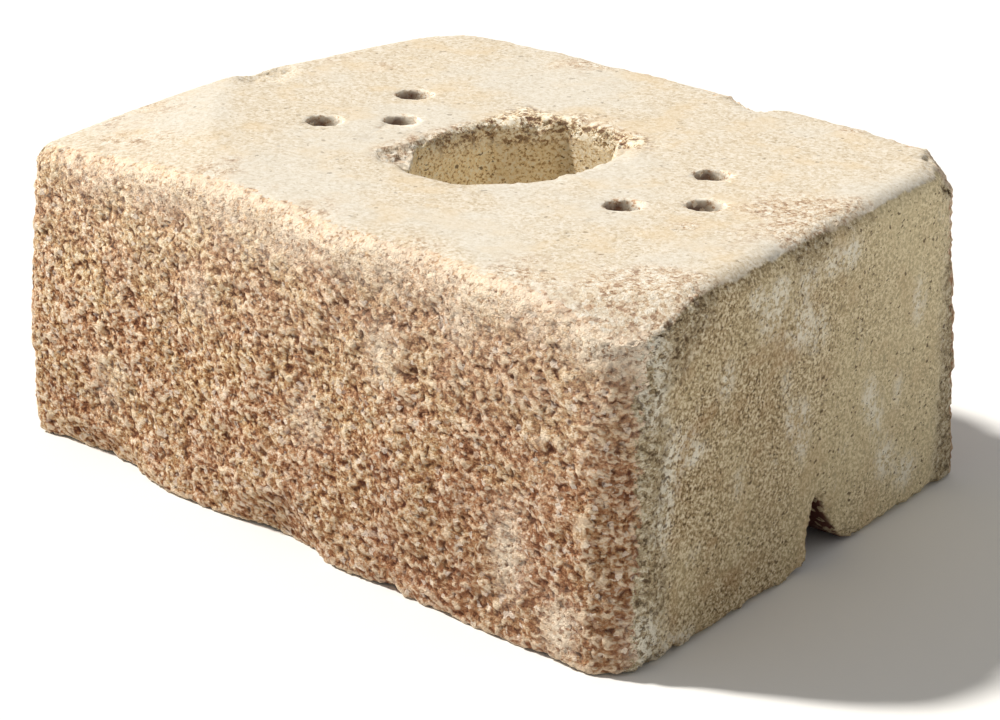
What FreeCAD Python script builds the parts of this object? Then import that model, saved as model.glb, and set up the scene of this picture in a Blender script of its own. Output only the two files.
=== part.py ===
"""Retaining wall block: one piece of dry-cast concrete with split front and back faces.

The block is a tapered prism, wider at the front. Its front and back are split faces that bulge and roll,
its moulded sides are flat, and all outer edges are rounded by tumbling, the top corners most. A core
opening runs through the middle. Six blind holes in the top take the pins that lock the next course, and a
channel across the bottom drops over the pins of the course below.

Millimetres. +Z is up and the front split face looks along -Y. The origin is at the middle of the bottom.
"""

import FreeCAD
import Part

import math
import os

Vector = FreeCAD.Vector

# Overall sizes, between the mean planes of the faces.
front_width = 386.0
back_width = 312.0
depth = 272.0
height = 152.0

# The origin is at the middle of the whole block, with its bulges. This far behind it is the middle
# between the two mean planes.
split_middle = 2.0

# Where the middle of the moulded pattern, the core, holes and channel, stands. The splits left it off
# the block's own middle.
pattern_x = 4.0
pattern_y = 0.0

# Tumbled outer edges. A corner is rounded this much at the bottom and at the top.
front_left_radii = (9.0, 13.0)
front_right_radii = (20.0, 24.0)
back_left_radii = (12.0, 42.0)
back_right_radii = (10.0, 30.0)
top_edge_radius = 10.0
bottom_edge_radius = 3.0

# Back top corners worn away: how far along each edge the wear begins.
back_left_wear = 22.0
back_right_wear = 38.0

# The top also falls away towards the front corners: how low it gets there, and how far along the side and
# the front that begins. It rounds off to a ball whose middle lies in from the corner by the start times
# the flatness.
front_left_fall = 19.0
front_left_fall_start = 168.0
front_right_fall = 18.0
front_right_fall_start = 60.0
corner_fall_flatness = 2.0

# Split faces: how far the fullest place stands out from the corners, the share of that on the +X side,
# how far the front turns (its +X end stands out and its -X end back), and how far a face falls back
# towards the top edge.
front_bulge = 5.0
front_bulge_side = 0.60
front_turn = 11.0
front_fall = 4.0
back_bulge = 6.0
back_bulge_side = -0.20
back_fall = 2.0
fall_height = 46.0

# Slow waves of the split faces: the height of each, how many lie in a roll length across and up, and
# where they start on each face.
split_roll_length = 118.0
split_roll = 1.0
broad_waves_up = 0.8
slanted_roll = 0.7 * split_roll
slanted_waves_across = 1.37
slanted_waves_up = 0.6
upright_roll = 0.6 * split_roll
upright_waves_across = 0.45
upright_waves_up = 1.1
front_roll_start = 0.4
back_roll_start = 2.3
split_grid = 28.0

# Core opening: an octagon that narrows towards the bottom.
core_width = 75.0
core_depth = 104.0
core_corner = 30.0
core_x = pattern_x + 3.0
core_y = pattern_y - 4.0
core_draft_degrees = 1.5
core_corner_radius = 8.0
core_rim_radius = 2.5

# Pins, and the holes that take them.
pin_length = 133.0
pin_stand_out = 25.0
pin_hole_diameter = 16.0
pin_column_spacing = 178.0
pin_row_spacing = 59.0
middle_hole_shift = 25.0
middle_hole_forward = 5.0

# Channel across the bottom that drops over the pins of the course below, as distances behind the middle
# of the pattern. The front wall leans a little, the rear one is flared low down.
channel_height = 30.0
channel_front_mouth = -6.0
channel_front_foot = 1.0
channel_front_foot_height = 6.0
channel_front_crown = 4.5
channel_rear_crown = 10.5
channel_rear_knee = 19.5
channel_rear_knee_height = 16.0
channel_flare = 29.5
channel_flare_height = 5.5
channel_rear_mouth = 44.0
channel_crown_radius = 2.5

# Chip out of the top of the back edge: its ends and its deepest place along x.
chip_start = 8.0
chip_end = 50.0
chip_deepest = 46.0
chip_reach = 20.0
chip_drop = 42.0

# Dents in the foot of the front face: the middle along x, the width, the height and the depth of each.
left_foot_dent = (-150.0, 84.0, 16.0, 7.0)
middle_foot_dent = (-16.0, 72.0, 22.0, 8.0)

pin_hole_depth = pin_length - pin_stand_out
side_taper = (front_width - back_width) / 2 / depth
core_inset = math.tan(math.radians(core_draft_degrees)) * height


def half_width_at(y):
    """Half of the block's width at a depth."""
    return front_width / 2 - side_taper * (y - split_middle + depth / 2)


def bulge_at(x, half_width, crest, side, turn):
    """How far a split face stands out at x from its mean plane."""
    across = max(-1.0, min(1.0, x / half_width))
    hump = 1 - across * across - 2 / 3
    return crest * (hump + side * across * (1 - across * across)) + turn * across


def fall_at(z, most):
    """How far a split face falls back near the top edge."""
    near = max(0.0, min(1.0, (z - height + fall_height) / fall_height))
    return most * near * near


def roll_at(x, z, start):
    """The slow unevenness of a split face, as three waves that cross at different slants."""
    across = 2 * math.pi * x / split_roll_length
    along = 2 * math.pi * z / split_roll_length
    broad = math.sin(across + start) * math.cos(broad_waves_up * along + start)
    slanted = math.sin(slanted_waves_across * across + slanted_waves_up * along + 2 * start)
    upright = math.cos(upright_waves_across * across - upright_waves_up * along + 3 * start)
    return split_roll * broad + slanted_roll * slanted + upright_roll * upright


def split_cutter(facing, half_width, crest, side, turn, fall, start):
    """Everything beyond a split face. facing is -1 for the front and +1 for the back."""
    reach_x = half_width + 2 * split_grid
    reach_z = 2 * split_grid
    columns = math.ceil(2 * reach_x / split_grid)
    rows = math.ceil((height + 2 * reach_z) / split_grid)
    grid = []
    for column in range(columns + 1):
        x = -reach_x + 2 * reach_x * column / columns
        stand_out = bulge_at(x, half_width, crest, side, turn)
        line = []
        for row in range(rows + 1):
            z = -reach_z + (height + 2 * reach_z) * row / rows
            out = depth / 2 + stand_out - fall_at(z, fall) + roll_at(x, z, start)
            line.append(Vector(x, split_middle + facing * out, z))
        grid.append(line)
    surface = Part.BSplineSurface()
    surface.interpolate(grid)
    return surface.toShape().extrude(Vector(0, facing * depth / 2, 0))


def tapered_prism():
    """The block before it is split and tumbled, long enough for the split faces to cut its ends."""
    reach = depth / 2 + front_bulge + front_turn + back_bulge + 4 * split_roll
    plan = [(half_width_at(-reach), -reach), (half_width_at(reach), reach)]
    plan += [(-half_width_at(reach), reach), (-half_width_at(-reach), -reach)]
    corners = [Vector(x, y, 0) for x, y in plan]
    outline = Part.makePolygon(corners + corners[:1])
    return Part.Face(outline).extrude(Vector(0, 0, height))


def lies_at(edge, z):
    """True for an edge in the level plane at z."""
    box = edge.BoundBox
    return abs(box.ZMin - z) < 0.01 and abs(box.ZMax - z) < 0.01


def corner_edge(block, side, facing):
    """The upright edge at one corner."""
    for edge in block.Edges:
        middle = edge.BoundBox.Center
        if edge.BoundBox.ZLength > 0.9 * height and middle.x * side > 0 and middle.y * facing > 0:
            return edge


def round_corner(block, side, facing, radii):
    """One upright corner rounded by more at the top than at the bottom."""
    edge = corner_edge(block, side, facing)
    if edge.valueAt(edge.FirstParameter).z < edge.valueAt(edge.LastParameter).z:
        return block.makeFillet(radii[0], radii[1], [edge])
    return block.makeFillet(radii[1], radii[0], [edge])


def corner_fall_cutter(side, fall, start):
    """Everything outside the broad ball that the top rounds off to at a front corner."""
    inset = corner_fall_flatness * start
    low = (2 * inset * start - start ** 2 + fall ** 2) / (2 * fall)
    y = split_middle - depth / 2
    corner_x = side * half_width_at(y)
    ball_middle = Vector(corner_x - side * inset, y + inset, height - low)
    begin = Vector(corner_x, y + start, height)
    reach = 2 * inset
    box_corner = Vector(min(0, side * reach), -reach, low - reach / 2)
    box = Part.makeBox(reach, reach, reach, ball_middle + box_corner)
    return box.cut(Part.makeSphere(begin.distanceToPoint(ball_middle), ball_middle))


def top_rim(block):
    """The outer edges of the faces that look up."""
    edges = []
    for face in block.Faces:
        low_u, high_u, low_v, high_v = face.ParameterRange
        if face.normalAt((low_u + high_u) / 2, (low_v + high_v) / 2).z > 0.9:
            edges += face.Edges
    return [e for e in edges if sum(e.isSame(other) for other in edges) == 1]


def corner_wear(side, facing, wear):
    """What is worn off a top corner: its cube outside a ball that meets the edges where the wear begins."""
    ball_inset = 2 * wear
    ball_radius = 3 * wear
    y = split_middle + facing * depth / 2
    corner = Vector(side * half_width_at(y), y, height)
    ball_middle = corner - Vector(side * ball_inset, facing * ball_inset, ball_inset)
    size = 2 * ball_inset
    start = Vector(min(0, side * size), min(0, facing * size), 0)
    cube = Part.makeBox(size, size, size, ball_middle + start)
    return cube.cut(Part.makeSphere(ball_radius, ball_middle))


def tumbled_block():
    """The outer form: a tapered prism with two split faces and worn edges."""
    block = tapered_prism()
    front = split_cutter(
        -1, front_width / 2, front_bulge, front_bulge_side, front_turn, front_fall, front_roll_start)
    back = split_cutter(1, back_width / 2, back_bulge, back_bulge_side, 0, back_fall, back_roll_start)
    block = block.cut(front).cut(back)
    block = round_corner(block, -1, -1, front_left_radii)
    block = round_corner(block, 1, -1, front_right_radii)
    block = round_corner(block, -1, 1, back_left_radii)
    block = round_corner(block, 1, 1, back_right_radii)
    block = block.cut(corner_fall_cutter(-1, front_left_fall, front_left_fall_start))
    block = block.cut(corner_fall_cutter(1, front_right_fall, front_right_fall_start))
    block = block.makeFillet(top_edge_radius, top_rim(block))
    block = block.makeFillet(bottom_edge_radius, [e for e in block.Edges if lies_at(e, 0)])
    block = block.cut(corner_wear(-1, 1, back_left_wear))
    return block.cut(corner_wear(1, 1, back_right_wear))


def octagon(width, length, corner, z):
    """A level rectangle with cut corners, as a closed wire."""
    a, b = width / 2, length / 2
    inner = a - corner * a / b
    points = [(a, corner - b), (a, b - corner), (inner, b), (-inner, b)]
    points += [(-x, -y) for x, y in points]
    corners = [Vector(x + core_x, y + core_y, z) for x, y in points]
    return Part.makePolygon(corners + corners[:1])


def core_opening():
    """The core, wider at the top by its draft, with rounded corners."""
    top = octagon(core_width, core_depth, core_corner, height)
    bottom = octagon(core_width - 2 * core_inset, core_depth - 2 * core_inset, core_corner, 0)
    core = Part.makeLoft([bottom, top], True, True)
    upright = [e for e in core.Edges if e.BoundBox.ZLength > 0.9 * height]
    return core.makeFillet(core_corner_radius, upright)


def is_core_rim(edge):
    """True for an edge of the core's mouth in the top."""
    middle = edge.BoundBox.Center
    in_core = abs(middle.x - core_x) <= core_width and abs(middle.y - core_y) <= core_depth
    return lies_at(edge, height) and in_core


def pin_places():
    """Where the pin holes stand, as (x, y), three on each side of the core."""
    places = []
    for side in (-1, 1):
        column = pattern_x + side * pin_column_spacing / 2
        places.append((column, pattern_y - pin_row_spacing / 2))
        places.append((column + middle_hole_shift, pattern_y - middle_hole_forward))
        places.append((column, pattern_y + pin_row_spacing / 2))
    return places


def pin_hole(x, y):
    """One blind hole down from the top."""
    foot = Vector(x, y, height - pin_hole_depth)
    return Part.makeCylinder(pin_hole_diameter / 2, pin_hole_depth, foot)


def pin_channel():
    """The channel, from side to side: a steep wall in front and a flared one behind."""
    def at(behind, z):
        return Vector(-front_width, pattern_y + behind, z)
    mouth = at(channel_rear_mouth, 0)
    flare = at(channel_flare, channel_flare_height)
    knee = at(channel_rear_knee, channel_rear_knee_height)
    points = [mouth, at(channel_front_mouth, 0), at(channel_front_foot, channel_front_foot_height)]
    points += [at(channel_front_crown, channel_height), at(channel_rear_crown, channel_height), knee]
    outline = Part.Wire(Part.makePolygon(points).Edges + [Part.Arc(knee, flare, mouth).toShape()])
    channel = Part.Face(outline).extrude(Vector(2 * front_width, 0, 0))
    crown_edges = [e for e in channel.Edges if lies_at(e, channel_height) and e.BoundBox.XLength > 1]
    return channel.makeFillet(channel_crown_radius, crown_edges)


def back_chip():
    """The piece knocked out of the top of the back edge: a slanted wedge that ends in a point below."""
    beyond = 2.0
    face = split_middle + depth / 2
    deepest = Vector(chip_deepest, face - chip_reach, height)
    rim = [Vector(chip_start, face, height), Vector(chip_end, face, height)]
    point = Vector(chip_deepest, face, height - chip_drop)
    outer = [deepest + (corner - deepest) * beyond for corner in rim + [point]]
    tip = outer.pop()
    lift = 1 + top_edge_radius / (height - tip.z)
    base = [tip + (corner - tip) * lift for corner in outer + [deepest]]
    faces = [Part.Face(Part.makePolygon(base + base[:1]))]
    for start, end in zip(base, base[1:] + base[:1]):
        faces.append(Part.Face(Part.makePolygon([start, end, tip, start])))
    return Part.Solid(Part.Shell(faces))


def foot_dent(x, width, dent_height, dent_depth):
    """The ball that leaves a shallow dent in the foot of the front face."""
    face = split_middle - depth / 2 - bulge_at(x, front_width / 2, front_bulge, front_bulge_side, front_turn)
    half = width / 2
    outside = (half * half - dent_depth ** 2) / (2 * dent_depth)
    low = (half * half - dent_height ** 2) / (2 * dent_height)
    ball_middle = Vector(x, face - outside, -low)
    lowest = Vector(x, face + dent_depth, 0)
    return Part.makeSphere(lowest.distanceToPoint(ball_middle), ball_middle)


def retaining_wall_block():
    block = tumbled_block()
    block = block.cut(foot_dent(*left_foot_dent)).cut(foot_dent(*middle_foot_dent))
    block = block.cut(core_opening())
    block = block.makeFillet(core_rim_radius, [e for e in block.Edges if is_core_rim(e)])
    for x, y in pin_places():
        block = block.cut(pin_hole(x, y))
    block = block.cut(pin_channel())
    return block.cut(back_chip())


os.makedirs("parts", exist_ok=True)
block = retaining_wall_block()
block.exportStep("parts/retaining_wall_block.step")
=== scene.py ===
"""Looks of the retaining wall block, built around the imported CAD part. Lengths are in metres.

The CAD node's mesh is copied, evened out, pushed in and out by grain, knocked at its edges and thinned.
Marks on its vertices tell one procedural concrete material which face, edge or hollow it is on.
"""

import math

import bpy
import numpy as np
from mathutils import Matrix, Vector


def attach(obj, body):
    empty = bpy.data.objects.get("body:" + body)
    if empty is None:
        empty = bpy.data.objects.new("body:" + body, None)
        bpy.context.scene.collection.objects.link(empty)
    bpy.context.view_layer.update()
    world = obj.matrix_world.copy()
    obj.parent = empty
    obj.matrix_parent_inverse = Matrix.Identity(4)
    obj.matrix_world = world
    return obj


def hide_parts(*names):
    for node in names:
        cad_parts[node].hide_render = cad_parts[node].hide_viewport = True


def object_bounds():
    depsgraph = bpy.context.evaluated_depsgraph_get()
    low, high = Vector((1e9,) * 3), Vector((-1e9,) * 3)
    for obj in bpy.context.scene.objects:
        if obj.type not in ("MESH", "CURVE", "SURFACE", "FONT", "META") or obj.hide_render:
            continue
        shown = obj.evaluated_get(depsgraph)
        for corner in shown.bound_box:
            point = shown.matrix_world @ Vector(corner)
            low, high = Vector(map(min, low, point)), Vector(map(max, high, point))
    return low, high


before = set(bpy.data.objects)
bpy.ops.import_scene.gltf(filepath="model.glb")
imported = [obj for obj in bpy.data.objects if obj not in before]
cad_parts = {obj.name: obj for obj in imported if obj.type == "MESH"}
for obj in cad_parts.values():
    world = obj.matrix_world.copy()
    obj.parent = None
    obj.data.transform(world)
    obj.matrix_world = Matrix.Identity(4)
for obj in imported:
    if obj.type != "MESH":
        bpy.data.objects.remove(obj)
cad_low, cad_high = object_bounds()

NODE = "retaining_wall_block"
MM = 0.001
VOXEL = 0.95 * MM
EVENING_ROUNDS = 28
TRIANGLES = 196000
BOX_LOW = np.array(cad_low)
BOX_HIGH = np.array(cad_high)

# Grain is a little flatter than it is wide.
FLATTENING = (1.0, 1.0, 1.25)

# A face that looks forward or back starts to count as split at the first of these distances from the middle,
# and counts wholly from the second.
SPLIT_STARTS = 0.108
SPLIT_FULL = 0.116

# The core opening: its middle and half its size at the top.
CORE_X, CORE_Y = 0.007, -0.004
CORE_HALF_WIDTH, CORE_HALF_DEPTH = 0.0375, 0.052

# Pin holes in the top, in millimetres, and their radius.
PIN_HOLES = ((-85, -29.5), (-60, -5), (-85, 29.5), (93, -29.5), (118, -5), (93, 29.5))
PIN_HOLE_RADIUS = 8 * MM

# Painted shadow of each pin hole's near rim thins out in this direction, along x and y.
SHADE_THINS_TO = (0.74, 0.67)

# The middle of the pin channel under the block, which shows as a notch in the side.
CHANNEL_Y = 0.019

# Pieces knocked off, given one by one, in millimetres: the ball's middle and its radius.
RIGHT_TOP_CHIPS = ((186, -30, 157, 13), (184, 6, 157, 12), (187, -52, 157, 11), (182, 40, 158, 11),
                   (176, 70, 158, 12))
RIGHT_FOOT_CHIPS = ((200, -118, -8, 17), (190, -146, -7, 15), (183, -60, -6, 9), (178, -30, -5, 8),
                    (176, -8, -5, 9), (169, 64, -6, 10), (173, 30, -5, 7), (187, -86, -5, 9),
                    (165, 96, -5, 9))
CORE_RIM_CHIPS = ((-20, -42, 172, 25.5), (-23, -31, 166, 18), (-27, -19, 158, 9), (-28, -4, 158, 8.5),
                  (-27, 9, 158, 9), (-26, 24, 158, 8.5), (-17, 37, 158, 9), (2, 46, 158, 8.5),
                  (22, 45, 158, 9.5), (36, 38, 158, 9))
LEFT_TOP_CHIPS = ((-162, 5, 183, 36), (-190, 20, 158, 12), (-184, 62, 158, 11), (-176, 28, 175, 26))
OTHER_CHIPS = ((189, -104, -5, 10), (180, -44, -4, 8), (164, 80, -6, 11), (161, 110, -5, 10),
               (171, 44, -5, 8), (60, -143, -6, 12), (-98, -139, -8, 13), (150, -148, -6, 11),
               (-30, 146, 158, 13), (-110, 144, 157, 12))
CHIPS = RIGHT_TOP_CHIPS + RIGHT_FOOT_CHIPS + CORE_RIM_CHIPS + LEFT_TOP_CHIPS + OTHER_CHIPS

# Small chips at random along the worn edges: how many, the least and largest radius in millimetres, and how
# far the ball's middle stands out of the surface, as a share of its radius.
SMALL_CHIPS = 190
SMALL_CHIP_RADIUS = (3.5, 9.0)
SMALL_CHIP_LIFT = (0.62, 0.85)
CHIP_SEED = 7

# Pale bloom, in millimetres: middle, radius, how much taller than wide, strength.
PALE_ON_RIGHT_SIDE = (
    (181, -49, 136, 6, 1.0, 0.9), (179, -30, 135, 7, 0.8, 1.0), (176, -7, 133, 7, 0.8, 1.0),
    (173, 13, 135, 7, 0.8, 0.9), (171, 28, 135, 8, 0.8, 0.9), (179, -36, 124, 9, 0.9, 0.9),
    (177, -14, 115, 11, 0.8, 1.0), (174, 2, 108, 8, 1.0, 1.0), (162, 90, 96, 6, 1.9, 0.8),
    (184, -70, 108, 6, 1.2, 0.8), (189, -122, 132, 7, 1.6, 1.0), (190, -122, 116, 6, 2.0, 0.8),
    (188, -102, 89, 9, 0.9, 1.0), (187, -90, 83, 7, 0.6, 0.8), (190, -109, 76, 5, 2.2, 1.0),
    (190, -116, 62, 5, 2.4, 0.8), (177, -16, 74, 6, 1.3, 0.9), (176, -7, 66, 6, 2.0, 1.0),
    (168, 49, 64, 7, 1.3, 0.8), (167, 55, 52, 6, 1.6, 0.8), (166, 65, 30, 9, 1.0, 0.8),
    (163, 85, 18, 10, 0.8, 0.8), (188, -102, 4, 12, 0.5, 0.9), (190, -124, 14, 8, 1.4, 0.8),
    (178, -22, 92, 5, 1.4, 0.5), (165, 74, 60, 5, 1.8, 0.5), (182, -58, 60, 6, 1.4, 0.4))
PALE_ON_FRONT = (
    (58, -139, 106, 8, 1.3, 0.8), (131, -141, 39, 8, 2.2, 0.9), (161, -142, 15, 8, 1.4, 1.0),
    (102, -139, 128, 9, 0.8, 0.6), (170, -138, 136, 10, 0.9, 0.6), (-60, -134, 100, 9, 1.2, 0.5),
    (10, -136, 62, 10, 1.0, 0.5), (-130, -130, 40, 9, 1.4, 0.5))
PALE_ON_BACK_AND_LEFT = (
    (-40, 140, 70, 12, 1.5, 0.6), (60, 138, 30, 10, 1.3, 0.6), (110, 136, 110, 9, 1.2, 0.5),
    (-172, 10, 60, 9, 2.0, 0.3), (-180, -60, 110, 10, 1.4, 0.3), (-165, 70, 100, 8, 2.2, 0.3),
    (-178, -40, 20, 10, 0.8, 0.3))
PALE = PALE_ON_RIGHT_SIDE + PALE_ON_FRONT + PALE_ON_BACK_AND_LEFT

# Places on the top where the cast skin is worn to the grain, in millimetres: middle, radius, strength.
BARE = (
    (172, -10, 150, 20, 1.0), (160, 12, 152, 22, 0.8), (138, 14, 152, 16, 0.6), (166, 44, 152, 16, 0.6),
    (176, -120, 146, 34, 1.0), (168, -92, 152, 22, 0.9), (120, -126, 150, 24, 0.8), (60, -128, 150, 22, 0.6),
    (0, -126, 150, 24, 0.6), (-70, -120, 146, 28, 0.7), (-140, -110, 140, 34, 0.8), (-176, -60, 142, 26, 0.7),
    (131, -32, 152, 5, 1.0), (-30, -42, 149, 9, 1.5), (-32, -24, 150, 8, 1.3), (-32, -8, 150, 7, 1.3),
    (-32, 8, 150, 7, 1.3), (-30, 24, 150, 7, 1.3), (-22, 40, 150, 8, 1.3), (-4, 50, 150, 7, 1.3),
    (14, 50, 150, 8, 1.3), (30, 50, 150, 9, 1.3), (42, 38, 150, 9, 1.2),
    (-140, 60, 150, 30, 0.5), (90, 124, 150, 24, 0.6), (-60, 126, 150, 26, 0.6))

# The light: where it comes from, its strength and how wide its source looks, in degrees.
KEY_FROM = (-0.60, -0.32, 0.78)
KEY_ENERGY = 4.1
KEY_ANGLE = 5.0
KEY_COLOUR = (1.0, 0.96, 0.90)
SKY_COLOUR = (1.0, 0.975, 0.94, 1.0)
SKY_STRENGTH = 0.38
FLOOR_COLOUR = (0.86, 0.86, 0.85, 1.0)
FLOOR_REACH = 30.0

# The camera, fitted to the photograph: its place, its angles in degrees, and its focal length in pixels of
# an image of that width.
CAMERA_AT = (1.01181, -1.11026, 0.60906)
CAMERA_YAW, CAMERA_PITCH, CAMERA_ROLL = 42.424, 20.398, 0.604
FOCAL_PIXELS = 3545.76
IMAGE_WIDTH = 1000
SENSOR_WIDTH = 36.0

# Odd numbers that stir the lattice's whole numbers: one for each axis, and one for the seed.
STIR_X, STIR_Y, STIR_Z, STIR_SEED = (np.uint32(n) for n in (374761393, 668265263, 2246822519, 3266489917))


def smooth(low, high, x):
    """0 at low, 1 at high and level beyond them, with a smooth turn between. High may be below low."""
    t = np.clip((x - low) / (high - low), 0.0, 1.0)
    return t * t * (3 - 2 * t)


def lattice(ix, iy, iz, seed):
    """A random number from 0 to 1 for each lattice point, stirred out of its whole numbers."""
    stirred = ix * STIR_X + iy * STIR_Y + iz * STIR_Z
    stirred = stirred + np.uint32(seed) * STIR_SEED
    stirred = (stirred ^ (stirred >> np.uint32(15))) * STIR_Z
    stirred = (stirred ^ (stirred >> np.uint32(13))) * STIR_SEED
    stirred = stirred ^ (stirred >> np.uint32(16))
    return stirred.astype(np.float64) / 2 ** 32


def cells_of(points, size):
    """The lattice cell of each point, and the place within the cell."""
    scaled = points / size + 4096.0
    cell = np.floor(scaled)
    return cell.astype(np.int64).astype(np.uint32), scaled - cell


def value_noise(points, size, seed):
    """Smooth noise from -1 to 1 whose lumps are about size across."""
    cell, part = cells_of(points, size)
    ease = part * part * part * (part * (part * 6 - 15) + 10)
    total = np.zeros(len(points))
    for dx in (0, 1):
        wx = ease[:, 0] if dx else 1 - ease[:, 0]
        for dy in (0, 1):
            wy = ease[:, 1] if dy else 1 - ease[:, 1]
            for dz in (0, 1):
                wz = ease[:, 2] if dz else 1 - ease[:, 2]
                corner = lattice(cell[:, 0] + np.uint32(dx), cell[:, 1] + np.uint32(dy),
                                 cell[:, 2] + np.uint32(dz), seed)
                total += wx * wy * wz * corner
    return total * 2 - 1


def layered_noise(points, size, layers, seed, fade=0.55):
    """Noise in layers, each half the size of the one before and fainter by fade."""
    total = np.zeros(len(points))
    weight = 1.0
    reach = 0.0
    for layer in range(layers):
        total += weight * value_noise(points, size / 2 ** layer, seed + 17 * layer)
        reach += weight
        weight *= fade
    return total / reach * 1.6


def grains(points, size, seed):
    """Broken grains: the gap to the next grain, the grain's own number and its tilted facet's height."""
    cell, part = cells_of(points, size)
    near = np.full(len(points), 9.0)
    second = np.full(len(points), 9.0)
    number = np.zeros(len(points))
    facet = np.zeros(len(points))
    for dx in (-1, 0, 1):
        for dy in (-1, 0, 1):
            for dz in (-1, 0, 1):
                cx = cell[:, 0] + np.uint32(dx % 2 ** 32)
                cy = cell[:, 1] + np.uint32(dy % 2 ** 32)
                cz = cell[:, 2] + np.uint32(dz % 2 ** 32)
                ox = dx + lattice(cx, cy, cz, seed) - part[:, 0]
                oy = dy + lattice(cx, cy, cz, seed + 1) - part[:, 1]
                oz = dz + lattice(cx, cy, cz, seed + 2) - part[:, 2]
                gap = np.sqrt(ox * ox + oy * oy + oz * oz)
                own = lattice(cx, cy, cz, seed + 3)
                slope = ((own * 7.13 % 1 - 0.5) * ox + (own * 13.7 % 1 - 0.5) * oy
                         + (own * 31.9 % 1 - 0.5) * oz)
                nearer = gap < near
                second = np.where(nearer, near, np.minimum(second, gap))
                number = np.where(nearer, own, number)
                facet = np.where(nearer, slope, facet)
                near = np.where(nearer, gap, near)
    return second - near, number, facet


def grain_relief(points, size, seed, step, tilt, groove):
    """The height of broken grains that each stand at their own level and tilt, with grooves between them."""
    gap, number, facet = grains(points, size, seed)
    return step * (number - 0.5) + tilt * facet - groove * smooth(0.30, 0.0, gap)


def blots(points, spots):
    """Soft round marks: each spot is its middle, its radius along the face, its stretch and its strength."""
    total = np.zeros(len(points))
    for sx, sy, sz, radius, stretch, strength in spots:
        away = (points - np.array((sx, sy, sz)) * MM) / (radius * MM)
        away[:, 2] /= stretch
        total += strength * np.exp(-np.einsum("ij,ij->i", away, away))
    return total


def split_places(points, normal):
    """1 on the split front and back faces, 0 on the moulded faces."""
    return smooth(0.20, 0.55, np.abs(normal[:, 1])) * smooth(SPLIT_STARTS, SPLIT_FULL, np.abs(points[:, 1]))


def bare_places(points, normal):
    """Where the grain shows on the moulded faces: beside the split faces and in worn places of the top."""
    wander = value_noise(points, 14 * MM, 81) + 0.7 * value_noise(points, 5 * MM, 82)
    beside = smooth(0.107, 0.121, np.abs(points[:, 1]) + 4 * MM * wander) * smooth(0.85, 0.6, normal[:, 2])
    round_spots = [(bx, by, bz, radius, 1.0, strength) for bx, by, bz, radius, strength in BARE]
    worn_top = smooth(0.30, 0.95, blots(points, round_spots) + 0.30 * wander)
    return np.maximum(beside, worn_top)


def beyond_pin_hole(x, y, hole):
    """How far each point is outside the wall of a pin hole. It is negative inside the hole."""
    return np.hypot(x - hole[0] * MM, y - hole[1] * MM) - PIN_HOLE_RADIUS


def pin_hole_mouths(x, y, z):
    """1 on the crisp mouths of the pin holes."""
    mouth = np.zeros(len(x))
    for hole in PIN_HOLES:
        ring = smooth(6 * MM, 3 * MM, np.abs(beyond_pin_hole(x, y, hole)))
        mouth = np.maximum(mouth, ring * smooth(0.130, 0.136, z))
    return mouth


def vertices_of(mesh):
    """The places of the mesh's vertices."""
    places = np.zeros(len(mesh.vertices) * 3)
    mesh.vertices.foreach_get("co", places)
    return places.reshape(-1, 3)


def edges_of(mesh):
    """The pairs of vertices that the mesh's edges join."""
    pairs = np.zeros(len(mesh.edges) * 2, np.int64)
    mesh.edges.foreach_get("vertices", pairs)
    return pairs.reshape(-1, 2)


def normals_of(mesh):
    """The normals at the mesh's vertices."""
    normals = np.zeros(len(mesh.vertices) * 3)
    mesh.vertex_normals.foreach_get("vector", normals)
    return normals.reshape(-1, 3)


def spread(values, pairs, rounds):
    """Evens values out over the mesh by averaging each vertex with its neighbours."""
    values = values.reshape(len(values), -1).copy()
    a, b = pairs[:, 0], pairs[:, 1]
    size = len(values)
    count = np.bincount(pairs.ravel(), minlength=size)[:, None]
    for _ in range(rounds):
        total = np.empty_like(values)
        for c in range(values.shape[1]):
            total[:, c] = (np.bincount(a, values[b, c], size)
                           + np.bincount(b, values[a, c], size))
        values = 0.4 * values + 0.6 * total / count
    return values


def unit(vectors):
    """The vectors at length 1."""
    return vectors / np.maximum(np.linalg.norm(vectors, axis=1, keepdims=True), 1e-12)


def apply_modifiers(piece, name):
    """Gives the piece a new mesh with its modifiers applied."""
    graph = bpy.context.evaluated_depsgraph_get()
    mesh = bpy.data.meshes.new_from_object(piece.evaluated_get(graph), depsgraph=graph)
    mesh.name = name
    piece.data = mesh
    piece.modifiers.clear()


def put(mesh, places):
    """Moves the mesh's vertices, kept within the CAD model's box."""
    places = np.clip(places, BOX_LOW, BOX_HIGH)
    mesh.vertices.foreach_set("co", places.astype(np.float32).ravel())
    mesh.update()


def even_copy(source, name):
    """A copy of the CAD node's mesh with vertices spread evenly over it."""
    piece = bpy.data.objects.new(name, source.data.copy())
    bpy.context.scene.collection.objects.link(piece)
    piece.data.materials.clear()
    remesh = piece.modifiers.new("even_mesh", "REMESH")
    remesh.mode = "VOXEL"
    remesh.voxel_size = VOXEL
    apply_modifiers(piece, name)
    return piece


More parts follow.
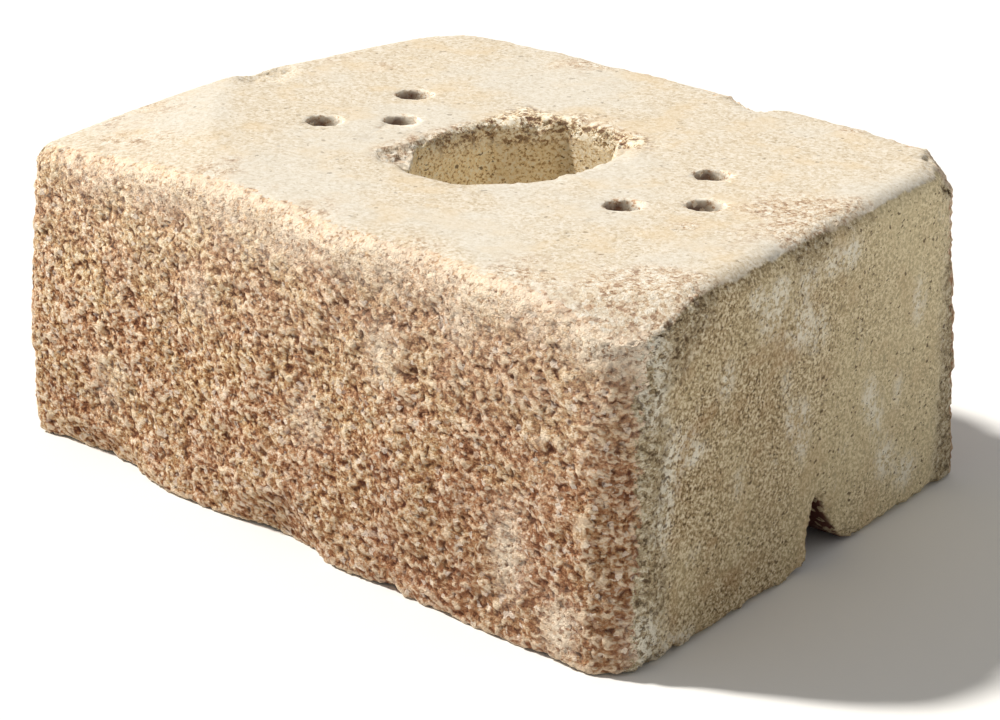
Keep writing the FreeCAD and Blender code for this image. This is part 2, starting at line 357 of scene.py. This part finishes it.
def surface_relief(place, facing, edge, split):
    """How far each vertex moves out, and the roughness that chips take on."""
    x, y, z = place.T
    lumps = layered_noise(place, 26 * MM, 3, 11)
    flat = place * np.array(FLATTENING)
    hills = layered_noise(flat, 9 * MM, 2, 23)
    bend = np.stack([value_noise(flat, 4 * MM, seed) for seed in (31, 32, 33)], 1)
    coarse = grain_relief(flat + bend * 0.9 * MM, 3.9 * MM, 41, step=0.8, tilt=2.2, groove=0.5)
    fine = grain_relief(flat + bend * 0.8 * MM, 2.2 * MM, 51, step=0.7, tilt=1.5, groove=0.3)
    crests = 0.6 - 1.6 * np.abs(value_noise(flat + bend * 1.2 * MM, 4.6 * MM, 61))
    crests += 0.4 - 1.1 * np.abs(value_noise(flat + bend * 0.8 * MM, 2.6 * MM, 62))

    # The broken faces get calmer towards the top edge, and the moulded faces are calmest on the top.
    calm = 1 - 0.45 * smooth(0.128, 0.150, z + 6 * MM * hills)
    broken = 0.9 * lumps + (0.75 * hills + 0.50 * coarse + 0.36 * fine + 0.40 * crests) * calm
    level = 1 - 0.6 * smooth(0.6, 0.9, facing[:, 2])
    moulded = 0.25 * lumps + (0.10 * hills + 0.11 * coarse + 0.16 * fine + 0.08 * crests - 0.08) * level
    worn = 0.5 * lumps + 0.7 * hills + 0.5 * coarse + 0.45 * fine + 0.3 * crests - 0.9
    rubbed = 0.3 * lumps + (0.25 * hills + 0.35 * coarse + 0.40 * fine + 0.25 * crests - 0.35) * level

    moulded += (rubbed - moulded) * bare_places(place, facing)
    depth = moulded + (worn - moulded) * edge * (1 - 0.8 * pin_hole_mouths(x, y, z))
    depth = (depth + (broken - depth) * split) * MM
    return depth, hills + 0.8 * coarse


def knock(points, centre, radius, rough):
    """Knocks a piece off: what lies inside the ball moves out to its rough surface."""
    away = points - centre
    gap = np.linalg.norm(away, axis=1)
    hit = gap < radius * 1.3
    reach = radius + 1.1 * MM * rough[hit]
    points[hit] = centre + away[hit] * np.maximum(1.0, reach / np.maximum(gap[hit], 1e-9))[:, None]


def knock_small_chips(points, place, facing, edge, rough):
    """Small chips at random along the worn edges, but not at the pin holes."""
    x, y, z = place.T
    mouth = pin_hole_mouths(x, y, z)
    outer = np.flatnonzero((edge > 0.5) & ((z > 0.004) | (np.abs(y) < 0.12)))
    dice = np.random.default_rng(CHIP_SEED)
    for pick in dice.choice(outer, SMALL_CHIPS, replace=False):
        radius = dice.uniform(*SMALL_CHIP_RADIUS) * MM
        centre = place[pick] + facing[pick] * radius * dice.uniform(*SMALL_CHIP_LIFT)
        if mouth[pick] < 0.5:
            knock(points, centre, radius, rough)


def wear(piece):
    """Gives the even mesh its grain, its worn edges and its chips.

    An edge is where the surface stands out from an evened copy of itself.
    """
    place = vertices_of(piece.data)
    pairs = edges_of(piece.data)
    facing = unit(spread(normals_of(piece.data), pairs, EVENING_ROUNDS // 2))
    even_place = spread(place, pairs, EVENING_ROUNDS)
    convex = np.einsum("ij,ij->i", place - even_place, facing)
    edge = smooth(0.12 * MM, 0.65 * MM, convex)
    depth, rough = surface_relief(place, facing, edge, split_places(place, facing))
    shaped = place + facing * depth[:, None]
    for cx, cy, cz, radius in CHIPS:
        knock(shaped, np.array((cx, cy, cz)) * MM, radius * MM, rough)
    knock_small_chips(shaped, place, facing, edge, rough)
    put(piece.data, shaped)


def thin_out(piece, name):
    """Thins the mesh to the wanted number of triangles. Until then each of its faces makes two."""
    thin = piece.modifiers.new("thin", "DECIMATE")
    thin.ratio = min(1.0, TRIANGLES / (2 * len(piece.data.polygons)))
    apply_modifiers(piece, name)
    put(piece.data, vertices_of(piece.data))


def core_marks(x, y, z, normal):
    """Marks of the core opening: its walls, the far wall alone, and the rim that crumbles left and far."""
    beyond_x = np.abs(x - CORE_X) - CORE_HALF_WIDTH
    beyond_y = np.abs(y - CORE_Y) - CORE_HALF_DEPTH
    walls = smooth(6 * MM, 2 * MM, beyond_x) * smooth(6 * MM, 2 * MM, beyond_y)
    walls *= smooth(0.9, 0.6, np.abs(normal[:, 2]))
    far_wall = walls * smooth(0.3, 0.8, -normal[:, 1])
    rim = smooth(5 * MM, 1 * MM, beyond_x) * smooth(5 * MM, 1 * MM, beyond_y) * smooth(0.138, 0.147, z)
    rim *= smooth(-0.02, -0.03, x - 0.4 * y) + smooth(0.026, 0.034, y - 0.2 * x)
    return walls, far_wall, rim


def pin_wall_and_shade_marks(x, y, z, normal):
    """Marks of the pin holes' upper walls, painted light, and of painted shade in the pin holes and in the
    channel.
    """
    pin_wall = np.zeros(len(x))
    painted_shade = np.zeros(len(x))
    for hole in PIN_HOLES:
        inside = smooth(2.5 * MM, 1.0 * MM, beyond_pin_hole(x, y, hole))
        inside = inside * smooth(0.95, 0.7, np.abs(normal[:, 2]))
        pin_wall = np.maximum(pin_wall, inside * smooth(0.141, 0.146, z))
        across = SHADE_THINS_TO[0] * (x - hole[0] * MM) + SHADE_THINS_TO[1] * (y - hole[1] * MM)
        rim_shadow = smooth(4 * MM, -2 * MM, across)
        # Painted shadow of the near rim over each hole's near left wall, and painted shade deeper in the
        # hole.
        painted_shade = np.maximum(painted_shade, inside * smooth(0.1515, 0.1495, z) * 0.85 * rim_shadow)
        painted_shade = np.maximum(painted_shade, inside * smooth(0.146, 0.130, z) * 0.6)
    # Painted shade on the walls of the channel under the block.
    channel = smooth(0.036, 0.026, z) * smooth(0.030, 0.022, np.abs(y - CHANNEL_Y))
    painted_shade += channel * smooth(0.8, 0.5, np.abs(normal[:, 0]))
    return pin_wall, painted_shade


def pale_marks(place, normal, split):
    """Marks of the pale bloom: single spots, the split faces' top edge and the corners beside them."""
    wander = value_noise(place, 26 * MM, 71) + 0.5 * value_noise(place, 9 * MM, 72)
    pale = blots(place, PALE)
    pale += 0.8 * split * smooth(0.122, 0.150, place[:, 2] + 7 * MM * wander)
    corner = smooth(0.02, 0.15, np.abs(normal[:, 1])) * smooth(0.50, 0.25, np.abs(normal[:, 1]))
    pale += 0.15 * corner * smooth(0.100, 0.112, np.abs(place[:, 1]))
    return np.clip(pale, 0, 1)


def set_marks(mesh):
    """Writes the surface marks that the material reads, one number for each vertex."""
    place = vertices_of(mesh)
    pairs = edges_of(mesh)
    normal = unit(spread(normals_of(mesh), pairs, 8))
    sunk = np.einsum("ij,ij->i", spread(place, pairs, 3) - place, normal)
    x, y, z = place.T
    split = split_places(place, normal)
    walls, far_wall, rim = core_marks(x, y, z, normal)
    pin_wall, painted_shade = pin_wall_and_shade_marks(x, y, z, normal)
    marks = {
        "split": split,
        "bare": bare_places(place, normal),
        "top": smooth(0.45, 0.85, normal[:, 2]),
        # Painted light on the core's walls.
        "inner": walls,
        # Painted shade in the pin holes and the channel.
        "painted_shade": painted_shade,
        "pale": pale_marks(place, normal, split),
        # Painted shade on the core's far wall.
        "far_wall": far_wall,
        # Painted light on the pin holes' upper walls.
        "pin_wall": pin_wall,
        "rim": np.clip(rim, 0, 1),
        # How sunk each vertex is: the material paints shade in hollows and a highlight on crests from it.
        "hollow": np.clip(sunk / (0.5 * MM), -1, 1) * 0.5 + 0.5,
    }
    for name, values in marks.items():
        layer = mesh.attributes.new(name, "FLOAT", "POINT")
        layer.data.foreach_set("value", values.astype(np.float32))


def rgb(r, g, b):
    """Linear colour, with its alpha, of an sRGB colour given from 0 to 255."""
    linear = [(c / 255 / 12.92) if c <= 10 else ((c / 255 + 0.055) / 1.055) ** 2.4 for c in (r, g, b)]
    return (*linear, 1.0)


class Tree:
    """A material whose shader nodes are added and linked by short calls."""

    def __init__(self, name):
        self.material = bpy.data.materials.new(name)
        self.material.use_nodes = True
        self.nodes = self.material.node_tree.nodes
        self.links = self.material.node_tree.links
        self.nodes.clear()

    def add(self, kind, **settings):
        node = self.nodes.new(kind)
        for key, value in settings.items():
            setattr(node, key, value)
        return node

    def feed(self, socket, value):
        """Links a socket to another one, or sets its value."""
        if isinstance(value, bpy.types.NodeSocket):
            self.links.new(value, socket)
        elif value is not None:
            socket.default_value = value

    def math(self, operation, a, b=None, clamp=False):
        node = self.add("ShaderNodeMath", operation=operation, use_clamp=clamp)
        self.feed(node.inputs[0], a)
        self.feed(node.inputs[1], b)
        return node.outputs[0]

    def plus(self, a, b):
        return self.math("ADD", a, b)

    def times(self, a, b):
        return self.math("MULTIPLY", a, b)

    def most(self, a, b):
        return self.math("MAXIMUM", a, b)

    def vector(self, operation, a, b, c=None):
        node = self.add("ShaderNodeVectorMath", operation=operation)
        self.feed(node.inputs[0], a)
        self.feed(node.inputs[2], c)
        self.feed(node.inputs["Scale" if operation == "SCALE" else 1], b)
        return node.outputs["Value" if operation == "DOT_PRODUCT" else "Vector"]

    def ramp(self, value, low, high, out_low=0.0, out_high=1.0):
        """Takes low to out_low and high to out_high, with a smooth turn between."""
        node = self.add("ShaderNodeMapRange", interpolation_type="SMOOTHSTEP")
        for socket, v in zip(node.inputs, (value, low, high, out_low, out_high)):
            self.feed(socket, v)
        return node.outputs[0]

    def mix(self, factor, a, b):
        """Colour a where the factor is 0 and colour b where it is 1. The numbers are the colour sockets."""
        node = self.add("ShaderNodeMix", data_type="RGBA", blend_type="MIX")
        self.feed(node.inputs["Factor"], factor)
        self.feed(node.inputs[6], a)
        self.feed(node.inputs[7], b)
        return node.outputs[2]

    def noise(self, where, size, detail, rough=0.55, offset=None):
        """Noise whose lumps are about size across: its strength and its colour."""
        if offset is not None:
            where = self.vector("ADD", where, offset)
        node = self.add("ShaderNodeTexNoise")
        self.feed(node.inputs["Vector"], where)
        node.inputs["Scale"].default_value = 1.0 / size
        node.inputs["Detail"].default_value = detail
        node.inputs["Roughness"].default_value = rough
        return node.outputs["Fac"], node.outputs["Color"]

    def cells(self, where, size):
        """Cells about size across: each point's nearest centre and that cell's random numbers."""
        node = self.add("ShaderNodeTexVoronoi", feature="F1")
        self.feed(node.inputs["Vector"], where)
        node.inputs["Scale"].default_value = 1.0 / size
        numbers = self.add("ShaderNodeSeparateColor")
        self.feed(numbers.inputs[0], node.outputs["Color"])
        return node.outputs, numbers.outputs

    def colours(self, value, stops):
        """A colour ramp: each stop is its place from 0 to 1 and its colour."""
        node = self.add("ShaderNodeValToRGB")
        elements = node.color_ramp.elements
        while len(elements) < len(stops):
            elements.new(0.5)
        for element, (spot, colour) in zip(elements, stops):
            element.position = spot
            element.color = colour
        self.feed(node.inputs[0], value)
        return node.outputs[0]

    def attribute(self, name):
        return self.add("ShaderNodeAttribute", attribute_name=name).outputs["Fac"]

    def finish(self, shader):
        output = self.add("ShaderNodeOutputMaterial")
        self.links.new(shader.outputs[0], output.inputs["Surface"])
        return self.material


class Concrete(Tree):
    """Tumbled tan concrete: broken grain, moulded skin, wear and bloom, with painted shade and painted light.
    """

    def __init__(self, name):
        super().__init__(name)
        straight = self.add("ShaderNodeTexCoord").outputs["Object"]
        self.where = self.vector("MULTIPLY", straight, FLATTENING)
        axes = self.add("ShaderNodeSeparateXYZ")
        self.feed(axes.inputs[0], straight)
        self.along_x, self.along_y, self.along_z = axes.outputs
        self.read_marks()
        self.make_noises()

    def read_marks(self):
        self.split = self.attribute("split")
        self.bare = self.attribute("bare")
        self.top = self.attribute("top")
        self.inner = self.attribute("inner")
        self.painted_shade = self.attribute("painted_shade")
        self.pale = self.attribute("pale")
        self.hollow = self.attribute("hollow")
        self.far_wall = self.attribute("far_wall")
        self.pin_wall = self.attribute("pin_wall")
        self.rim = self.attribute("rim")

    def make_noises(self):
        """The noises that several parts of the material share, from patches of 90 mm to specks of 1.3 mm."""
        where = self.where
        self.numbers_a, self.bent_a, self.facet_a = self.grain_layer(2.6 * MM, 3.0 * MM, (0.0, 0.0, 0.0))
        self.numbers_b, self.bent_b, self.facet_b = self.grain_layer(1.3 * MM, 1.6 * MM, (5.0, 0.0, 0.0))
        self.large = self.noise(where, 90 * MM, 3.0)[0]
        self.medium = self.noise(where, 22 * MM, 4.0, offset=(1.0, 0.0, 0.0))[0]
        self.clump = self.noise(where, 7 * MM, 3.0, 0.6, (0.0, 2.0, 0.0))[0]
        self.crumbs = self.noise(where, 3.4 * MM, 3.0, 0.75, (0.0, 4.0, 0.0))[0]
        self.small = self.noise(where, 1.8 * MM, 2.0, 0.7, (0.0, 1.0, 0.0))[0]
        ridges = self.noise(where, 2.9 * MM, 2.0, 0.65, (6.0, 0.0, 0.0))[0]
        self.crest = self.math("ABSOLUTE", self.math("SUBTRACT", ridges, 0.5))
        upright = self.vector("MULTIPLY", where, (1.0, 1.0, 0.45))
        self.streak = self.noise(upright, 16 * MM, 4.0, 0.72, (3.0, 0.0, 0.0))[0]
        grain = self.plus(self.times(self.numbers_a[0], 0.30), self.times(self.numbers_b[0], 0.30))
        grain = self.plus(grain, self.ramp(self.crumbs, 0.32, 0.68, 0.0, 0.40))
        self.grain = self.plus(grain, self.ramp(self.clump, 0.35, 0.65, -0.08, 0.08))
        speck = self.ramp(self.small, 0.28, 0.72, 0.0, 0.6)
        self.speck = self.plus(speck, self.times(self.numbers_b[0], 0.4))

    def grain_layer(self, size, reach, offset):
        """Random numbers of each grain, the bent place and the height of the grain's tilted facet."""
        wander = self.noise(self.where, size * 1.3, 1.0, offset=offset)[1]
        push = self.vector("SCALE", self.vector("SUBTRACT", wander, (0.5, 0.5, 0.5)), reach)
        bent = self.vector("ADD", self.where, push)
        cell, numbers = self.cells(bent, size)
        slope = self.vector("SUBTRACT", cell["Color"], (0.5, 0.5, 0.5))
        facet = self.vector("DOT_PRODUCT", self.vector("SUBTRACT", bent, cell["Position"]), slope)
        return numbers, bent, self.math("DIVIDE", facet, size)

    def broken_face(self):
        """Grains from red brown to cream, with painted shade in the hollows and a painted highlight on the
        grains that stand out, darker towards the right end and the foot.
        """
        tan_grains = self.colours(self.grain, [
            (0.16, rgb(84, 46, 24)), (0.34, rgb(150, 104, 64)), (0.50, rgb(190, 150, 104)),
            (0.66, rgb(222, 194, 152)), (0.82, rgb(246, 232, 206))])
        red_grains = self.colours(self.grain, [
            (0.16, rgb(74, 36, 20)), (0.34, rgb(146, 94, 60)), (0.50, rgb(188, 142, 102)),
            (0.66, rgb(222, 188, 154)), (0.82, rgb(248, 230, 208))])
        colour = self.mix(self.ramp(self.medium, 0.40, 0.60), tan_grains, red_grains)
        right_end = self.ramp(self.along_x, -0.16, 0.20, 0.0, 0.40)
        foot = self.ramp(self.along_z, 0.085, 0.010, 0.0, 0.25)
        colour = self.mix(self.plus(right_end, foot), colour, rgb(128, 84, 58))
        colour = self.mix(self.ramp(self.along_z, 0.065, 0.130, 0.0, 0.15), colour, rgb(236, 214, 186))
        pale_grains = self.times(self.ramp(self.numbers_a[1], 0.91, 0.95),
                                 self.ramp(self.numbers_a[2], 0.2, 0.8, 0.3, 0.8))
        colour = self.mix(pale_grains, colour, rgb(232, 216, 200))
        # Painted shade in the hollows and a painted highlight on the standing grains.
        colour = self.mix(self.ramp(self.hollow, 0.56, 0.96, 0.0, 0.85), colour, rgb(72, 32, 18))
        colour = self.mix(self.ramp(self.hollow, 0.44, 0.10, 0.0, 0.55), colour, rgb(242, 224, 196))
        dusting = self.ramp(self.plus(self.numbers_b[1], self.crumbs), 0.50, 1.10, 0.15, 1.0)
        return self.mix(self.times(self.pale, dusting), colour, rgb(238, 222, 200))

    def moulded_side(self):
        """Fine speckle from dark to pale, lighter towards the back, with grain where the skin is worn off."""
        colour = self.colours(self.speck, [
            (0.16, rgb(90, 69, 45)), (0.34, rgb(149, 126, 91)), (0.54, rgb(182, 161, 125)),
            (0.76, rgb(223, 209, 180))])
        colour = self.mix(self.ramp(self.medium, 0.50, 0.68, 0.0, 0.40), colour, rgb(172, 136, 96))
        colour = self.mix(self.ramp(self.large, 0.42, 0.62, 0.0, 0.30), colour, rgb(204, 190, 152))
        colour = self.mix(self.ramp(self.along_y, -0.08, 0.12, 0.0, 0.42), colour, rgb(243, 230, 190))
        rubble = self.colours(self.grain, [
            (0.20, rgb(84, 68, 48)), (0.40, rgb(154, 134, 102)), (0.58, rgb(186, 170, 138)),
            (0.80, rgb(222, 212, 190))])
        return self.mix(self.times(self.bare, 0.85), colour, rubble)

    def core_wall(self):
        """The core's walls, painted near white as painted light, with painted shade darkening the far wall
        where the key light reaches it.
        """
        colour = self.colours(self.speck, [
            (0.18, rgb(176, 146, 106)), (0.38, rgb(243, 223, 181)), (0.60, rgb(251, 238, 206)),
            (0.80, rgb(254, 248, 230))])
        return self.mix(self.times(self.far_wall, 0.36), colour, rgb(150, 128, 98))

    def bloom(self):
        """How much pale bloom lies on the moulded sides."""
        patchy = self.plus(self.streak, self.times(self.crumbs, 0.5))
        bloom = self.times(self.ramp(self.pale, 0.0, 0.7), self.ramp(patchy, 0.56, 0.80))
        bloom = self.most(bloom, self.ramp(self.streak, 0.60, 0.72, 0.0, 0.45))
        return self.times(bloom, self.ramp(self.crumbs, 0.45, 0.53, 0.10, 0.8))

    def top_face(self):
        """The pale top, with warm and grey patches and bare grain in worn places."""
        colour = self.colours(self.speck, [
            (0.14, rgb(190, 174, 149)), (0.34, rgb(207, 194, 171)), (0.54, rgb(214, 203, 184)),
            (0.80, rgb(225, 217, 203))])
        colour = self.mix(self.ramp(self.medium, 0.50, 0.66, 0.0, 0.40), colour, rgb(218, 196, 160))
        colour = self.mix(self.ramp(self.large, 0.48, 0.60, 0.0, 0.40), colour, rgb(216, 214, 206))
        bare_top = self.colours(self.grain, [
            (0.20, rgb(148, 106, 78)), (0.36, rgb(200, 172, 141)), (0.52, rgb(218, 202, 178)),
            (0.80, rgb(236, 229, 216))])
        return self.mix(self.times(self.bare, 0.75), colour, bare_top)

    def pit_layer(self, size, at, offset, share_side, share_top):
        """Small ragged pits: 1 inside a pit. A share of the cells, different on the top, holds none."""
        cell, numbers = self.cells(self.vector("MULTIPLY_ADD", at, (0.8, 0.8, 1.15), offset), size)
        share = self.ramp(self.top, 0.0, 1.0, share_side, share_top)
        ragged = self.plus(cell["Distance"], self.ramp(self.small, 0.3, 0.7, -0.10, 0.10))
        beyond = self.math("SUBTRACT", ragged, self.times(numbers[0], 0.36))
        inside = self.ramp(beyond, -0.10, 0.02, 1.0, 0.0)
        pits = self.times(inside, self.math("GREATER_THAN", numbers[1], share))
        return self.times(pits, self.math("SUBTRACT", 1.0, self.split, clamp=True))

    def pits(self):
        """Both sizes of pits, painted shade as dark spots with no relief of their own, fainter on the top and
        absent from the pin holes' walls.
        """
        pits = self.pit_layer(3.2 * MM, self.bent_a, (7.0, 0.0, 0.0), 0.62, 0.90)
        pits = self.most(pits, self.pit_layer(1.7 * MM, self.bent_b, (8.0, 0.0, 0.0), 0.72, 0.92))
        pits = self.times(pits, self.math("SUBTRACT", 1.0, self.pin_wall))
        return self.times(pits, self.ramp(self.top, 0.0, 1.0, 0.78, 0.40))

    def hollows(self):
        """How much painted shade darkens the hollows, less so on the top and in the openings."""
        sheltered = self.most(self.most(self.inner, self.pin_wall), self.top)
        open_air = self.math("SUBTRACT", 1.0, self.times(sheltered, 0.7))
        tone = self.times(self.ramp(self.hollow, 0.58, 0.96, 0.0, 0.75), open_air)
        return self.times(tone, self.ramp(self.bare, 0.0, 0.8, 0.4, 1.0))

    def moulded_face(self):
        """All moulded faces: the sides, the core's walls, the top, the pin holes and the core's rim."""
        # The core's walls carry painted light, and their far wall painted shade.
        side = self.mix(self.inner, self.moulded_side(), self.core_wall())
        side = self.mix(self.bloom(), side, rgb(238, 232, 216))
        on_top = self.ramp(self.plus(self.top, self.times(self.clump, 0.5)), 0.55, 0.95)
        colour = self.mix(on_top, side, self.top_face())
        # The pin holes' upper walls are painted near white: painted light on their walls.
        pin_wall = self.colours(self.grain, [
            (0.24, rgb(206, 172, 142)), (0.36, rgb(248, 232, 208)), (0.60, rgb(254, 247, 232))])
        colour = self.mix(self.pin_wall, colour, pin_wall)
        # Painted shade of the small pits.
        colour = self.mix(self.pits(), colour, rgb(84, 64, 44))
        # Painted shade in the hollows.
        colour = self.mix(self.hollows(), colour, rgb(92, 66, 46))
        crumbled = self.colours(self.grain, [
            (0.30, rgb(112, 80, 60)), (0.42, rgb(192, 162, 126)), (0.52, rgb(230, 212, 176)),
            (0.72, rgb(252, 245, 228))])
        return self.mix(self.times(self.rim, 0.8), colour, crumbled)

    def surface_colour(self):
        """The broken and the moulded faces meet in a ragged border, and painted shade lies over both in the
        pin holes and the channel.
        """
        ragged = self.times(self.math("SUBTRACT", self.numbers_a[2], 0.5), 0.7)
        border = self.ramp(self.plus(self.split, ragged), 0.40, 0.60)
        colour = self.mix(border, self.moulded_face(), self.broken_face())
        # Painted shade in the pin holes and the channel under the block, dark brown, with some grains left
        # paler.
        shade_amount = self.times(self.painted_shade, self.ramp(self.numbers_a[1], 0.84, 0.90, 1.0, 0.35))
        return self.mix(shade_amount, colour, rgb(88, 50, 40))

    def fine_relief(self):
        """Relief too fine for the mesh, strongest where grain is bare."""
        height = self.plus(self.times(self.facet_a, 0.8), self.times(self.facet_b, 0.5))
        height = self.plus(height, self.times(self.crest, -2.2))
        height = self.plus(height, self.times(self.crumbs, 0.9))
        strength = self.ramp(self.most(self.split, self.bare), 0.2, 0.9, 0.20, 1.0)
        strength = self.times(strength, self.ramp(self.top, 0.0, 1.0, 1.0, 0.55))
        bump = self.add("ShaderNodeBump")
        bump.inputs["Distance"].default_value = 1.1 * MM
        bump.inputs["Strength"].default_value = 0.85
        self.feed(bump.inputs["Height"], self.times(height, strength))
        return bump.outputs[0]

    def build(self):
        shader = self.add("ShaderNodeBsdfPrincipled")
        self.feed(shader.inputs["Base Color"], self.surface_colour())
        self.feed(shader.inputs["Roughness"], self.ramp(self.small, 0.2, 0.8, 0.86, 0.97))
        shader.inputs["Specular IOR Level"].default_value = 0.25
        self.feed(shader.inputs["Normal"], self.fine_relief())
        return self.finish(shader)


def facing_matrix(right, up, back, place):
    """The matrix of an object with these axes at this place."""
    return Matrix([[right[i], up[i], back[i], place[i]] for i in range(3)] + [[0, 0, 0, 1]])


def make_block():
    """The block, in place of the CAD node."""
    block = even_copy(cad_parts[NODE], "tumbled_block")
    wear(block)
    thin_out(block, "tumbled_block")
    set_marks(block.data)
    for polygon in block.data.polygons:
        polygon.use_smooth = True
    block.data.update()
    block.data.materials.append(Concrete("tumbled_concrete").build())
    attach(block, "root")
    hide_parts(NODE)


def make_floor():
    """A plain pale floor."""
    mesh = bpy.data.meshes.new("floor")
    corners = [(-FLOOR_REACH, -FLOOR_REACH, 0), (FLOOR_REACH, -FLOOR_REACH, 0),
               (FLOOR_REACH, FLOOR_REACH, 0), (-FLOOR_REACH, FLOOR_REACH, 0)]
    mesh.from_pydata(corners, [], [(0, 1, 2, 3)])
    floor = bpy.data.objects.new("floor", mesh)
    bpy.context.scene.collection.objects.link(floor)
    paper = Tree("pale_floor")
    shader = paper.add("ShaderNodeBsdfPrincipled")
    shader.inputs["Base Color"].default_value = FLOOR_COLOUR
    shader.inputs["Roughness"].default_value = 0.95
    mesh.materials.append(paper.finish(shader))


def make_light():
    """A soft even sky and one key light."""
    world = bpy.data.worlds.new("studio")
    bpy.context.scene.world = world
    world.use_nodes = True
    background = world.node_tree.nodes["Background"]
    background.inputs["Color"].default_value = SKY_COLOUR
    background.inputs["Strength"].default_value = SKY_STRENGTH
    light = bpy.data.lights.new("key", "SUN")
    light.energy = KEY_ENERGY
    light.angle = math.radians(KEY_ANGLE)
    light.color = KEY_COLOUR
    key = bpy.data.objects.new("key", light)
    bpy.context.scene.collection.objects.link(key)
    towards = np.array(KEY_FROM) / np.linalg.norm(KEY_FROM)
    side = np.cross((0, 0, 1), towards)
    side = side / np.linalg.norm(side)
    key.matrix_world = facing_matrix(side, np.cross(towards, side), towards, 2.0 * towards)


def make_camera():
    """The camera at the photograph's place and angle."""
    yaw, pitch, roll = math.radians(CAMERA_YAW), math.radians(CAMERA_PITCH), math.radians(CAMERA_ROLL)
    ahead = np.array([-math.sin(yaw) * math.cos(pitch),
                      math.cos(yaw) * math.cos(pitch),
                      -math.sin(pitch)])
    right = np.array([math.cos(yaw), math.sin(yaw), 0.0])
    up = np.cross(right, ahead)
    right, up = (math.cos(roll) * right + math.sin(roll) * up,
                 math.cos(roll) * up - math.sin(roll) * right)
    lens = bpy.data.cameras.new("camera")
    lens.lens = FOCAL_PIXELS / IMAGE_WIDTH * SENSOR_WIDTH
    lens.sensor_width = SENSOR_WIDTH
    lens.sensor_fit = "HORIZONTAL"
    lens.clip_start = 0.05
    lens.clip_end = 100.0
    camera = bpy.data.objects.new("camera", lens)
    bpy.context.scene.collection.objects.link(camera)
    camera.matrix_world = facing_matrix(right, up, -ahead, CAMERA_AT)
    bpy.context.scene.camera = camera
    bpy.context.scene.view_settings.view_transform = "Standard"


make_block()
make_floor()
make_light()
make_camera()
